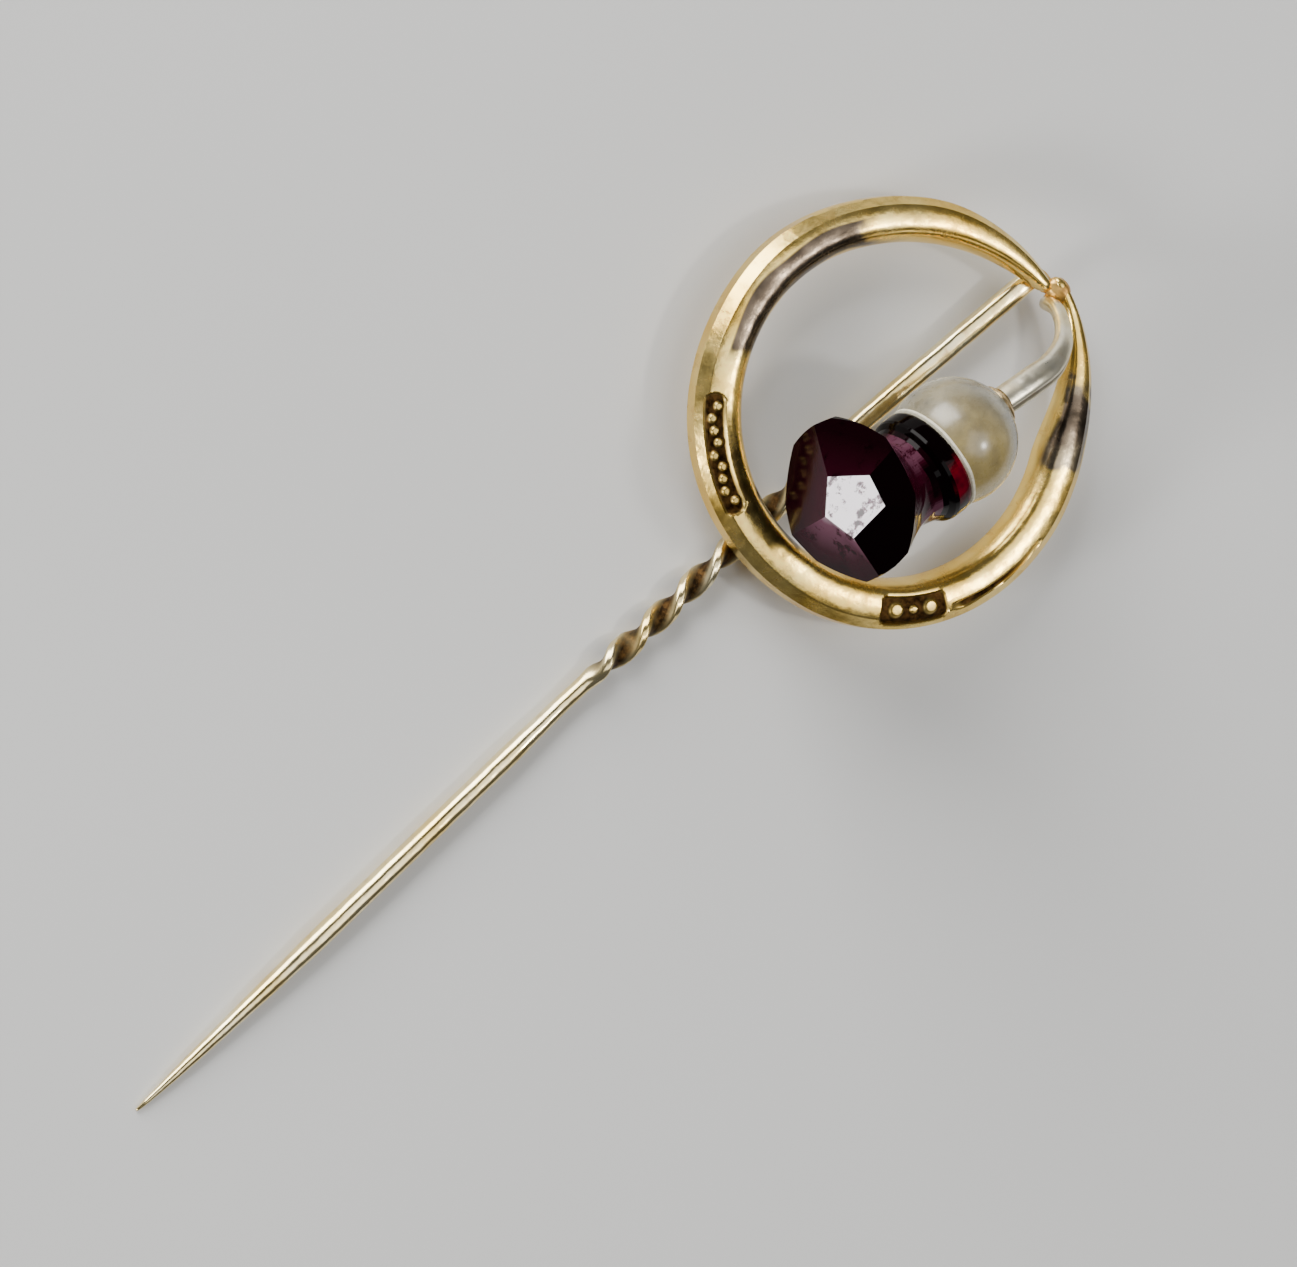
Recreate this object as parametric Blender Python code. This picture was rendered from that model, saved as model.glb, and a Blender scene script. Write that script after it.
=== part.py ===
"""Thistle stick pin for a tie or cravat.

An open gold hoop carries, from its joint, a long twisted pin stem behind it and a hook
wire in front of it. The hook holds a pearl and a faceted stone that together make a
thistle head. The pin lies on its back: +Z is the front, the point is at -Y, the head
at +Y, and the stem's flat underside is at Z = 0.
"""
import math

import bmesh
import bpy
from mathutils import Matrix, Vector

MM = 0.001

# Driving dimensions, in millimetres and degrees.
LENGTH = 52.5
GAP = 0.06

HOOP_RADIUS = 9.05
HOOP_WIDTH = 2.15
HOOP_THICKNESS = 1.25
HOOP_SIDE_SHARE = 0.16
BEVEL_START = 0.7
BEVEL_END = 0.985
BEVEL_FOOT = 0.17
FACE_CROWN = 0.25
INNER_POWERS = (3.2, 0.7)
HOOP_END_SIZE = 0.55
HOOP_JOINT_ANGLE = 85.0
HOOP_HALF_OPENING = 2.6
HOOP_LEFT_TAPER = 70.0
HOOP_LEFT_FULLNESS = 0.8
HOOP_RIGHT_TAPER = 52.0
HOOP_RIGHT_FLARE = 0.55
# Hand-made unevenness of the hoop's outer edge: angle of its middle, spread to either side, growth.
HOOP_SWELL = (240.0, 50.0, 0.18)
HOOP_PINCH = (150.0, 35.0, -0.16)

JOINT_TOP = 9.8
JOINT_CENTRE = (1.4, 9.08, -0.15)
JOINT_RADII = (1.03, 0.72, 0.62)
BACK_SOLDER_RADII = (1.0, 0.85, 0.62)

STEM_AXIS_HEIGHT = 0.62
STEM_TO_HOOP = 0.22
STEM_X = -0.2
STEM_TOP = 8.8
STEM_TOP_SHIFT = 0.45
STEM_TOP_RISE = 0.5
STEM_TOP_WIDTH = 0.95
STEM_TOP_DEPTH = 0.74
STEM_RISE_FROM = -1.0
STEM_RISE_POWER = 1.1
TWIST_WIDTH = 1.14
TWIST_DEPTH = 0.62
TWIST_START = -4.6
TWIST_END = -17.5
TWIST_TURNS = 3
TWIST_LEAD_IN = 2.0
TWIST_LEAD_OUT = 1.2
SHANK_SETTLE = 1.6
SHANK_DRIFT = 5.0
SHANK_DIA = 0.86
SHANK_NECK_DIA = 0.72
SHANK_SWELL_LENGTH = 4.5
SHANK_SHIFT = -0.14
SHANK_FLAT = 0.3
POINT_LENGTH = 10.0
POINT_DIA = 0.1
POINT_FULLNESS = 0.58

HOOK_ROOT_DIA = 0.66
HOOK_END_DIA = 1.3
HOOK_ROUTE = ((1.4, 8.5, -0.5), (1.34, 8.34, 0.1), (1.46, 8.1, 0.95), (1.84, 7.5, 1.8),
              (2.13, 6.61, 2.65), (2.21, 5.45, 3.2), (1.98, 4.2, 3.48))

PEARL_TOP = Vector((1.67, 2.47, 3.6))
PEARL_AXIS = Vector((-0.112, -0.991, 0.08)).normalized()
FLOWER_AXIS = Vector((-0.445, -0.809, 0.384)).normalized()
PEARL_DIA = 5.32
PEARL_HEIGHT = 3.84
CAP_DIA = 1.9
CAP_THICKNESS = 0.22
RIM_THICKNESS = 0.12
RIM_DIA = 5.04
COLLAR_DIA = 4.9
WAIST_DIA = 4.2
GIRDLE_DIA = 6.9
WAIST_AT = 1.7
GIRDLE_AT = 4.7
STONE_FACETS = 8
# The crown: its table's height over the girdle, shift and tilt towards the front, and the
# facets cut around the table, each as azimuth, distance from the table's middle, and slope.
TABLE_HEIGHT = 1.0
TABLE_SHIFT = 1.08
TABLE_TILT = 17.7
CROWN_BLANK = 2.2
CROWN_FACETS = ((85.0, 1.12, 24.0), (18.0, 1.13, 19.0), (-55.0, 0.95, 22.0),
                (-134.0, 1.25, 37.0), (165.0, 1.25, 39.0))
PEG_DIA = 0.7
PEG_DEPTH_IN_STONE = 2.4
DRILL_DIA = 1.1

# Derived places: the stem's point, the stone's seat, and the hoop's middle in the part's frame.
POINT_Y = JOINT_TOP - LENGTH
STONE_AT = PEARL_HEIGHT + RIM_THICKNESS + 2 * GAP
HEAD_HEIGHT = STEM_AXIS_HEIGHT + TWIST_WIDTH / 2 + STEM_TO_HOOP + HOOP_THICKNESS / 2
HEAD_ORIGIN = Vector((0.0, LENGTH / 2 - JOINT_TOP, HEAD_HEIGHT))

# Finish: colour, roughness, metallic.
FINISHES = {
    "yellow_gold": ((0.83, 0.68, 0.38), 0.18, 1.0),
    "pale_gold": ((0.80, 0.76, 0.62), 0.22, 1.0),
    "solder": ((0.78, 0.56, 0.24), 0.35, 1.0),
    "pearl": ((0.78, 0.75, 0.66), 0.25, 0.0),
    "cream_cement": ((0.86, 0.82, 0.68), 0.6, 0.0),
    "amethyst": ((0.09, 0.01, 0.05), 0.05, 0.0),
}


# Materials and objects


def finish(name):
    """Return the material of this name, made on first use."""
    found = bpy.data.materials.get(name)
    if found:
        return found
    colour, roughness, metallic = FINISHES[name]
    material = bpy.data.materials.new(name)
    material.use_nodes = True
    shader = material.node_tree.nodes["Principled BSDF"]
    shader.inputs["Base Color"].default_value = (*colour, 1.0)
    shader.inputs["Roughness"].default_value = roughness
    shader.inputs["Metallic"].default_value = metallic
    return material


def add_object(name, bm, material, parent, sharp_degrees=40.0):
    """Turn a bmesh, in millimetres of its parent's frame, into a named part."""
    bmesh.ops.scale(bm, vec=(MM, MM, MM), verts=bm.verts)
    bmesh.ops.recalc_face_normals(bm, faces=bm.faces)
    mesh = bpy.data.meshes.new(name)
    bm.to_mesh(mesh)
    bm.free()
    mesh.shade_smooth()
    mesh.set_sharp_from_angle(angle=math.radians(sharp_degrees))
    mesh.materials.append(finish(material))
    part = bpy.data.objects.new(name, mesh)
    bpy.context.collection.objects.link(part)
    part.parent = parent
    return part


def cut(part, cutter):
    """Take a hidden cutter's shape out of a part."""
    cutter.hide_render = True
    cutter.display_type = "WIRE"
    boolean = part.modifiers.new("clearance", "BOOLEAN")
    boolean.operation = "DIFFERENCE"
    boolean.solver = "EXACT"
    boolean.object = cutter


# Shape helpers


def smoothstep(value):
    value = min(max(value, 0.0), 1.0)
    return value * value * (3.0 - 2.0 * value)


def blend(a, b, t):
    return a + (b - a) * t


def spline(points, t):
    """Point at t in 0..1 on a Catmull-Rom curve through the points."""
    points = [Vector(p) for p in points]
    points = [points[0] * 2 - points[1]] + points + [points[-1] * 2 - points[-2]]
    place = min(max(t, 0.0), 1.0) * (len(points) - 3)
    index = min(int(place), len(points) - 4)
    u = place - index
    a, b, c, d = points[index:index + 4]
    return 0.5 * (2 * b + (c - a) * u + (2 * a - 5 * b + 4 * c - d) * u * u
                  + (3 * b - a - 3 * c + d) * u * u * u)


def frame_at(point, tangent, side):
    """Matrix with Z along the tangent and X as near as it can be to the side."""
    z = tangent.normalized()
    x = (side - z * side.dot(z)).normalized()
    y = z.cross(x)
    return Matrix.Translation(point) @ Matrix((x, y, z)).transposed().to_4x4()


def loft(rings):
    """Closed skin over equal-count rings of points, with flat end caps."""
    bm = bmesh.new()
    rows = [[bm.verts.new(p) for p in ring] for ring in rings]
    count = len(rows[0])
    for row, following in zip(rows, rows[1:]):
        for i in range(count):
            j = (i + 1) % count
            bm.faces.new((row[i], row[j], following[j], following[i]))
    bm.faces.new(rows[0])
    bm.faces.new(rows[-1])
    return bm


def turned(profile, matrix, steps=28):
    """Spin a closed (radius, height) outline about the matrix's Z axis."""
    bm = bmesh.new()
    verts = [bm.verts.new((r, 0.0, z)) for r, z in profile]
    edges = [bm.edges.new((verts[i], verts[(i + 1) % len(verts)])) for i in range(len(verts))]
    bmesh.ops.spin(bm, geom=verts + edges, cent=(0, 0, 0), axis=(0, 0, 1),
                   angle=math.tau, steps=steps, use_duplicate=False)
    bmesh.ops.remove_doubles(bm, verts=bm.verts, dist=0.0005)
    bmesh.ops.transform(bm, matrix=matrix, verts=bm.verts)
    return bm


# Hoop


def hoop_taper(angle):
    """Share of the full section, 0 at either end of the open hoop and 1 on the body."""
    left = min((angle - HOOP_JOINT_ANGLE) / HOOP_LEFT_TAPER, 1.0)
    right = (HOOP_JOINT_ANGLE + 360.0 - angle) / HOOP_RIGHT_TAPER
    return min(math.sin(0.5 * math.pi * left) ** HOOP_LEFT_FULLNESS, smoothstep(right))


def uneven(angle, lump):
    """Growth of the hoop's outer edge at an angle, from one gentle lump or hollow."""
    centre, spread, growth = lump
    share = min(abs(angle - centre) / spread, 1.0)
    return growth * math.cos(0.5 * math.pi * share) ** 2


def hoop_section(width, thickness, grow):
    """Outline as (outward, forward): flat back, outer bevel, gently crowned face, round inner side."""
    side = HOOP_SIDE_SHARE * thickness
    half = width / 2 + grow
    back = -thickness / 2 - grow
    spring = -thickness / 2 + side
    dome = thickness - side + grow
    face = [(x, 1.0 - FACE_CROWN * x * x) for x in (BEVEL_START, 0.5 * BEVEL_START, 0.0)]
    inner = [(-x, (1.0 - x ** INNER_POWERS[0]) ** INNER_POWERS[1]) for x in (0.45, 0.7, 0.86, 0.95, 1.0)]
    arch = [(half * x, spring + dome * z) for x, z in [(BEVEL_END, BEVEL_FOOT)] + face + inner]
    return [(-half, back), (half, back)] + arch


def hoop_bmesh(grow=0.0, steps=64):
    start = HOOP_JOINT_ANGLE + HOOP_HALF_OPENING
    end = HOOP_JOINT_ANGLE + 360.0 - HOOP_HALF_OPENING
    rings = []
    for i in range(steps + 1):
        degrees = blend(start, end, i / steps)
        size = hoop_taper(degrees)
        change = uneven(degrees, HOOP_SWELL) + uneven(degrees, HOOP_PINCH)
        width = blend(HOOP_END_SIZE, HOOP_WIDTH, size) + change
        thickness = blend(HOOP_END_SIZE, HOOP_THICKNESS, size)
        flare = HOOP_RIGHT_FLARE * smoothstep(1 - (HOOP_JOINT_ANGLE + 360.0 - degrees) / HOOP_RIGHT_TAPER)
        radius = HOOP_RADIUS + change + flare - width / 2
        angle = math.radians(degrees)
        outward = Vector((math.cos(angle), math.sin(angle), 0.0))
        ring = [outward * (radius + u) + Vector((0, 0, w))
                for u, w in hoop_section(width, thickness, grow)]
        rings.append(ring)
    return loft(rings)


# Stem


def stem_route(y):
    """Centre of the stem at a distance y along the pin, in the hoop's frame."""
    rise = max((y - STEM_RISE_FROM) / (STEM_TOP - STEM_RISE_FROM), 0.0) ** STEM_RISE_POWER
    settle = smoothstep((TWIST_END + TWIST_LEAD_OUT - y) / SHANK_SETTLE)
    height = blend(STEM_AXIS_HEIGHT, SHANK_DIA / 2, settle) + STEM_TOP_RISE * rise
    drift = smoothstep((TWIST_END + SHANK_DRIFT - y) / SHANK_DRIFT)
    shift = STEM_TOP_SHIFT * rise + SHANK_SHIFT * drift
    return Vector((STEM_X + shift, y, height - HEAD_HEIGHT))


def stem_size(y):
    """Width, depth and turn of the stem's section at y."""
    turn = math.tau * TWIST_TURNS * (TWIST_START - y) / (TWIST_START - TWIST_END)
    if y > TWIST_START:
        t = smoothstep((TWIST_START + TWIST_LEAD_IN - y) / TWIST_LEAD_IN)
        return blend(STEM_TOP_WIDTH, TWIST_WIDTH, t), blend(STEM_TOP_DEPTH, TWIST_DEPTH, t), 0.0
    if y > TWIST_END:
        t = smoothstep((TWIST_END + TWIST_LEAD_OUT - y) / TWIST_LEAD_OUT)
        return blend(TWIST_WIDTH, SHANK_NECK_DIA, t), blend(TWIST_DEPTH, SHANK_NECK_DIA, t), turn
    swell = smoothstep((TWIST_END - y) / SHANK_SWELL_LENGTH)
    taper = min((y - POINT_Y) / POINT_LENGTH, 1.0) ** POINT_FULLNESS
    dia = blend(POINT_DIA, blend(SHANK_NECK_DIA, SHANK_DIA, swell), taper)
    return dia, dia, 0.0


def stem_ring(y, grow, count=12):
    """Rounded section of the stem, turned in the twist and flat underneath on the shank."""
    width, depth, turn = stem_size(y)
    centre = stem_route(y)
    if y <= TWIST_END:
        centre.z = depth / 2 - HEAD_HEIGHT
    ring = []
    for i in range(count):
        angle = math.tau * (i + 0.5) / count
        across = (width / 2 + grow) * math.cos(angle)
        forward = (depth / 2 + grow) * math.sin(angle)
        x = across * math.cos(turn) + forward * math.sin(turn)
        z = forward * math.cos(turn) - across * math.sin(turn)
        if y <= TWIST_END and abs(angle - 1.5 * math.pi) < math.pi / count + 0.01:
            x = math.copysign(min(SHANK_FLAT, depth * 0.6) / 2, across)
            z = -depth / 2 - grow
        ring.append(centre + Vector((x, 0.0, z)))
    return ring


def stem_bmesh(grow=0.0):
    places = [blend(STEM_TOP, TWIST_START, i / 9) for i in range(9)]
    places += [blend(TWIST_START, TWIST_END + 0.05, i / 48) for i in range(49)]
    places += [TWIST_END - SHANK_SWELL_LENGTH * i / 4 for i in range(1, 5)]
    places += [POINT_Y + POINT_LENGTH * (1.0 - i / 12) ** 1.7 for i in range(13)]
    return loft([stem_ring(y, grow) for y in places])


# Hook


def hook_bmesh(grow=0.0, steps=20, count=12):
    """Round wire from the joint, forward and over to the back of the pearl's cap."""
    end = PEARL_TOP - PEARL_AXIS * (CAP_THICKNESS + 2 * GAP)
    route = HOOK_ROUTE + (tuple(end),)
    side = Vector((0.95, -0.3, 0.0))
    rings = []
    for i in range(steps + 1):
        t = i / steps
        tangent = spline(route, t + 0.01) - spline(route, t - 0.01)
        if i == steps:
            tangent = PEARL_AXIS
        place = frame_at(spline(route, t), tangent, side)
        dia = blend(HOOK_ROOT_DIA, HOOK_END_DIA, smoothstep((t - 0.35) / 0.5))
        rings.append([place @ Vector(((dia / 2 + grow) * math.cos(a),
                                      (dia / 2 + grow) * math.sin(a), 0.0))
                      for a in (math.tau * k / count for k in range(count))])
    return loft(rings)


# Thistle head: cap, peg, pearl, bedding rim and stone on one line


def pearl_frame(distance=0.0):
    """Frame on the pearl's axis, this far from its top towards the flower."""
    return frame_at(PEARL_TOP + PEARL_AXIS * distance, PEARL_AXIS, Vector((0.0, 0.0, 1.0)))


def ball_depth(radius, ball):
    """Distance from a ball's top down to the height where it has this radius."""
    return ball - math.sqrt(ball * ball - radius * radius)


def cap_profile():
    """Shallow cup: an outer and an inner arc over the pearl's top, open for the peg."""
    ball = PEARL_DIA / 2
    hole = PEG_DIA / 2 + GAP
    radii = [blend(hole, CAP_DIA / 2, i / 5) for i in range(6)]
    inner = [(r, ball_depth(r, ball) - GAP) for r in radii]
    outer = [(r, ball_depth(r, ball) - GAP - CAP_THICKNESS) for r in reversed(radii)]
    return inner + [(CAP_DIA / 2 + 0.08, inner[-1][1] - CAP_THICKNESS / 2)] + outer


def pearl_profile():
    """Drilled dome, cut flat where the stone is bedded on it."""
    ball = PEARL_DIA / 2
    start = math.asin(DRILL_DIA / 2 / ball)
    stop = math.acos((ball - PEARL_HEIGHT) / ball)
    arc = [(ball * math.sin(a), ball - ball * math.cos(a))
           for a in (blend(start, stop, i / 12) for i in range(13))]
    return arc + [(DRILL_DIA / 2, PEARL_HEIGHT)]


def sleeve_profile(start, end):
    """Tube of cement between the peg and a drilled wall."""
    inner = PEG_DIA / 2 + GAP
    outer = DRILL_DIA / 2 - GAP
    return [(inner, start), (outer, start), (outer, end), (inner, end)]


def stone_place(distance):
    """Frame on the stone's bent axis; it leans from the pearl's line to the flower's."""
    lean = smoothstep(distance / GIRDLE_AT)
    direction = PEARL_AXIS.lerp(FLOWER_AXIS, lean).normalized()
    travel = PEARL_AXIS.lerp(FLOWER_AXIS, 0.7 * min(distance / GIRDLE_AT, 1.0)).normalized()
    base = PEARL_TOP + PEARL_AXIS * STONE_AT
    return frame_at(base + travel * distance, direction, Vector((0.0, 0.0, 1.0)))


def crown_frame():
    """Frame on the middle of the table, with Z out of it and X towards the front."""
    shift = Matrix.Translation((TABLE_SHIFT, 0.0, TABLE_HEIGHT))
    tilt = Matrix.Rotation(math.radians(TABLE_TILT), 4, "Y")
    return stone_place(GIRDLE_AT) @ shift @ tilt


def slice_off(bm, point, normal):
    """Cut away what lies in front of a plane, and close the cut with one flat face."""
    geometry = bm.verts[:] + bm.edges[:] + bm.faces[:]
    result = bmesh.ops.bisect_plane(bm, geom=geometry, dist=0.0001, plane_co=point,
                                    plane_no=normal, clear_outer=True)
    edges = [item for item in result["geom_cut"] if isinstance(item, bmesh.types.BMEdge)]
    bmesh.ops.edgenet_fill(bm, edges=edges)


def stone_bmesh():
    """Carved stone: rolled collar, waist and flare, with the table and crown facets cut last."""
    stations = [
        (0.0, COLLAR_DIA - 0.5, 0.0),
        (0.18, COLLAR_DIA - 0.12, 0.0),
        (0.5, COLLAR_DIA, 0.0),
        (0.85, COLLAR_DIA - 0.15, 0.0),
        (1.1, COLLAR_DIA - 0.6, 0.1),
        (WAIST_AT, WAIST_DIA, 0.3),
        (blend(WAIST_AT, GIRDLE_AT, 0.3), blend(WAIST_DIA, GIRDLE_DIA, 0.16), 0.5),
        (blend(WAIST_AT, GIRDLE_AT, 0.65), blend(WAIST_DIA, GIRDLE_DIA, 0.58), 0.5),
        (GIRDLE_AT, GIRDLE_DIA, 0.5),
    ]
    places = [(stone_place(distance), dia, faceting) for distance, dia, faceting in stations]
    blank = stone_place(GIRDLE_AT) @ Matrix.Translation((0.0, 0.0, CROWN_BLANK))
    places.append((blank, GIRDLE_DIA, 0.5))
    sector = math.tau / STONE_FACETS
    rings = []
    for place, dia, faceting in places:
        ring = []
        for k in range(4 * STONE_FACETS):
            angle = sector * k / 4
            flat = math.cos(sector / 2) / math.cos(angle % sector - sector / 2)
            radius = dia / 2 * blend(1.0, flat, faceting)
            ring.append(place @ Vector((radius * math.cos(angle), radius * math.sin(angle), 0.0)))
        rings.append(ring)
    bm = loft(rings)
    crown = crown_frame()
    slice_off(bm, crown.translation, crown.col[2].xyz)
    for azimuth, distance, slope in CROWN_FACETS:
        turn = Matrix.Rotation(math.radians(azimuth), 4, "Z")
        lean = Matrix.Rotation(math.radians(slope), 4, "Y")
        facet = crown @ turn @ Matrix.Translation((distance, 0.0, 0.0)) @ lean
        slice_off(bm, facet.translation, facet.col[2].xyz)
    return bm


def cylinder_profile(radius, start, end):
    return [(0.0, start), (radius, start), (radius, end), (0.0, end)]


# Solder


def blob_bmesh(centre, radii):
    bm = bmesh.new()
    bmesh.ops.create_uvsphere(bm, u_segments=16, v_segments=10, radius=1.0)
    shape = Matrix.Translation(centre) @ Matrix.Diagonal((*radii, 1.0))
    bmesh.ops.transform(bm, matrix=shape, verts=bm.verts)
    return bm


def build():
    for old in list(bpy.data.objects):
        bpy.data.objects.remove(old)
    head = bpy.data.objects.new("head_centre", None)
    head.location = HEAD_ORIGIN * MM
    bpy.context.collection.objects.link(head)

    add_object("hoop", hoop_bmesh(), "yellow_gold", head)
    add_object("pin_stem", stem_bmesh(), "pale_gold", head)
    add_object("hook_wire", hook_bmesh(), "pale_gold", head)

    clearances = [
        add_object("clearance_hoop", hoop_bmesh(GAP), "solder", head),
        add_object("clearance_stem", stem_bmesh(GAP), "solder", head),
        add_object("clearance_hook", hook_bmesh(GAP), "solder", head),
    ]
    joint = add_object("joint_solder", blob_bmesh(JOINT_CENTRE, JOINT_RADII), "solder", head)
    back_centre = (STEM_X, HOOP_WIDTH / 2 - HOOP_RADIUS, -HOOP_THICKNESS / 2 - GAP)
    back = add_object("back_solder", blob_bmesh(back_centre, BACK_SOLDER_RADII), "solder", head)
    for clearance in clearances:
        cut(joint, clearance)
    for clearance in clearances[:2]:
        cut(back, clearance)

    add_object("pearl_cap", turned(cap_profile(), pearl_frame()), "pale_gold", head)
    peg_end = STONE_AT + PEG_DEPTH_IN_STONE
    peg = cylinder_profile(PEG_DIA / 2, -CAP_THICKNESS - GAP, peg_end)
    add_object("peg", turned(peg, pearl_frame(), 12), "pale_gold", head)
    add_object("pearl", turned(pearl_profile(), pearl_frame()), "pearl", head)
    cement = sleeve_profile(0.15, PEARL_HEIGHT)
    add_object("pearl_cement", turned(cement, pearl_frame(), 16), "cream_cement", head)
    rim = [(DRILL_DIA / 2, STONE_AT - GAP), (DRILL_DIA / 2, PEARL_HEIGHT + GAP),
           (RIM_DIA / 2, PEARL_HEIGHT + GAP), (RIM_DIA / 2 - 0.08, STONE_AT - GAP)]
    add_object("bedding_rim", turned(rim, pearl_frame()), "cream_cement", head)
    stone = add_object("thistle_stone", stone_bmesh(), "amethyst", head, 15.0)
    drill = cylinder_profile(DRILL_DIA / 2, STONE_AT - 1.0, peg_end + GAP)
    drill = add_object("stone_drill", turned(drill, pearl_frame(), 16), "amethyst", head)
    cut(stone, drill)
    cement = sleeve_profile(STONE_AT, peg_end)
    add_object("stone_cement", turned(cement, pearl_frame(), 16), "cream_cement", head)


build()
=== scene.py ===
"""Looks of the thistle stick pin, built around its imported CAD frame.

Every visible piece is rebuilt here at full fineness in the place of its CAD node: the
hoop with its stamped recesses, the stem with its twist, the hook, the solder, the cap,
the pearl, its bedding rim and the faceted stone. The inner pieces stay as CAD nodes
with better materials. Lengths in the constants are millimetres and angles are degrees,
measured about the middle of the hoop, unless a comment says otherwise.
"""

import math

import bmesh
import bpy
from mathutils import Matrix, Vector, noise


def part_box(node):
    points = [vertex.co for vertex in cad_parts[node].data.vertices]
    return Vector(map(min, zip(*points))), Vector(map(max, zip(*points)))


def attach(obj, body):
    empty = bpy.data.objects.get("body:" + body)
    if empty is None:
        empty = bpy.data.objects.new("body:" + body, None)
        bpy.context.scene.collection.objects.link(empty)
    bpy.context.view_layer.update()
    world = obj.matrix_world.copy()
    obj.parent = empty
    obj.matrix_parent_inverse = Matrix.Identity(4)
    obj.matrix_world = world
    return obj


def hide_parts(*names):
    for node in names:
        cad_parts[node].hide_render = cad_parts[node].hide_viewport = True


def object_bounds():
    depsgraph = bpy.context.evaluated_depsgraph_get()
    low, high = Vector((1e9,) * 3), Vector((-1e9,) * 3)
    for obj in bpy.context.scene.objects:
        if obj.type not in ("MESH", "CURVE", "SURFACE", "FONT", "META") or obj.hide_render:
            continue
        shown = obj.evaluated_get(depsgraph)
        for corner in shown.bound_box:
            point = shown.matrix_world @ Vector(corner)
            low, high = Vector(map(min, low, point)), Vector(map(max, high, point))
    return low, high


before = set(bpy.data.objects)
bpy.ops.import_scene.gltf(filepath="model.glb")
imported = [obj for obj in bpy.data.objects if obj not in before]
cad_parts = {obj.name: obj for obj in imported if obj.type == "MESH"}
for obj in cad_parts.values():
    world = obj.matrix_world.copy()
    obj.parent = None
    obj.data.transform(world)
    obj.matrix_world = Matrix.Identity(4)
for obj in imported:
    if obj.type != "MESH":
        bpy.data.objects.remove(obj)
cad_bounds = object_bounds()

MM = 0.001

HOOP_RADIUS = 9.05
HOOP_WIDTH = 2.15
HOOP_END_SIZE = 0.55
HOOP_JOINT_ANGLE = 85.0
# How far each end of the open hoop runs past the joint beside the other, and rounds off.
HOOP_END_LAP = 0.8
HOOP_END_ROUND = 2.4
HOOP_LEFT_TAPER = 70.0
HOOP_LEFT_FULLNESS = 0.8
HOOP_RIGHT_TAPER = 52.0
HOOP_RIGHT_FLARE = 0.55
# Hand-made unevenness of the hoop's outer edge: angle of its middle, spread to either side, growth.
HOOP_SWELL = (240.0, 50.0, 0.18)
HOOP_PINCH = (150.0, 35.0, -0.16)
# The hoop's section: shares of its half width where the outer bevel starts and ends, and of its
# height where the bevel's foot is; how much the face falls towards its edges; the share of its
# thickness that is a straight side; and the powers of the curve of its inner shoulder.
BEVEL_START = 0.6
BEVEL_END = 0.985
BEVEL_FOOT = 0.5
FACE_CROWN = 0.25
HOOP_SIDE_SHARE = 0.16
INNER_POWERS = (3.2, 0.7)
EDGE_BREAK = 0.05

# Stamped recesses: angle, half spread in degrees, half width, and place across the hoop. The
# pellets that stand in them: number to either side of the middle one, pitch, and radius.
STRIP_MARK = (241.0, 17.5, 0.44, 0.40)
CARTOUCHE_MARK = (324.0, 11.0, 0.62, 0.24)
MARK_DEPTH = 0.14
SURFACE_RUB = 0.02
MARK_CORNER = 0.34
MARK_LIP = 0.4
PELLET_SHARE = 0.8
STRIP_PELLETS = (4, 0.5, 0.21)
CARTOUCHE_PELLETS = (1, 0.8, 0.36)
MIDDLE_PELLET = 0.2
STRIP_STAGGER = 0.15
# Painted dark reflections, streaky grey-brown patches on the gold: angle, spread, place across the half
# width, and reach. How far their
# edges wander: slow and fine drift along the hoop in degrees, and drift across it.
DARK_REFLECTION_PATCHES = ((176.0, 35.0, -0.3, 0.64), (403.0, 15.0, 0.15, 1.05), (268.0, 14.0, -0.9, 0.3))
DARK_REFLECTION_DRIFT = (9.0, 3.0, 0.3)
# The tool mark beside the cartouche: its angles, place across the half width, and half widths.
SCORE_START = 336.0
SCORE_END = 370.0
SCORE_PLACE = 0.5
SCORE_WIDTHS = (0.15, 0.06)

STEM_AXIS_HEIGHT = 0.62
STEM_X = -0.2
STEM_TOP = 8.8
STEM_TOP_SHIFT = 0.45
STEM_TOP_RISE = 0.5
STEM_TOP_ROUND = 0.35
STEM_TOP_EXTRA = 0.3
STEM_RISE_FROM = -1.0
STEM_RISE_POWER = 1.1
STEM_TOP_WIDTH = 0.95
STEM_TOP_DEPTH = 0.74
TWIST_WIDTH = 1.13
TWIST_DEPTH = 0.62
TWIST_START = -4.6
TWIST_END = -17.5
TWIST_TURNS = 3
TWIST_HOLLOW = 0.12
# Lengths over which the twist comes in and dies out, the wire drops to the shank's height and
# settles there, and the shank drifts sideways.
TWIST_LEAD_IN = 2.0
TWIST_LEAD_OUT = 1.2
TWIST_FADE = 1.6
SHANK_SETTLE = 1.6
SHANK_REST = 1.5
SHANK_DRIFT = 5.0
SHANK_DIA = 0.86
SHANK_NECK_DIA = 0.72
SHANK_SWELL_LENGTH = 4.5
SHANK_SHIFT = -0.14
POINT_LENGTH = 10.0
POINT_DIA = 0.08
POINT_FULLNESS = 0.58

HOOK_ROOT_DIA = 0.66
HOOK_END_DIA = 1.28
# The crease's angle around the wire and the flat's angle beyond it, in radians, and how deep
# they are as shares of the wire's radius.
HOOK_CREASE = 0.85
HOOK_FLAT = 1.2
HOOK_CREASE_DEPTH = 0.13
HOOK_FLAT_DEPTH = 0.07
HOOK_ROUTE = ((1.4, 8.5, -0.5), (1.34, 8.34, 0.1), (1.46, 8.1, 0.95), (1.84, 7.5, 1.8),
              (2.13, 6.61, 2.65), (2.21, 5.45, 3.2), (1.98, 4.2, 3.48), (1.71, 2.72, 3.58))

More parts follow.
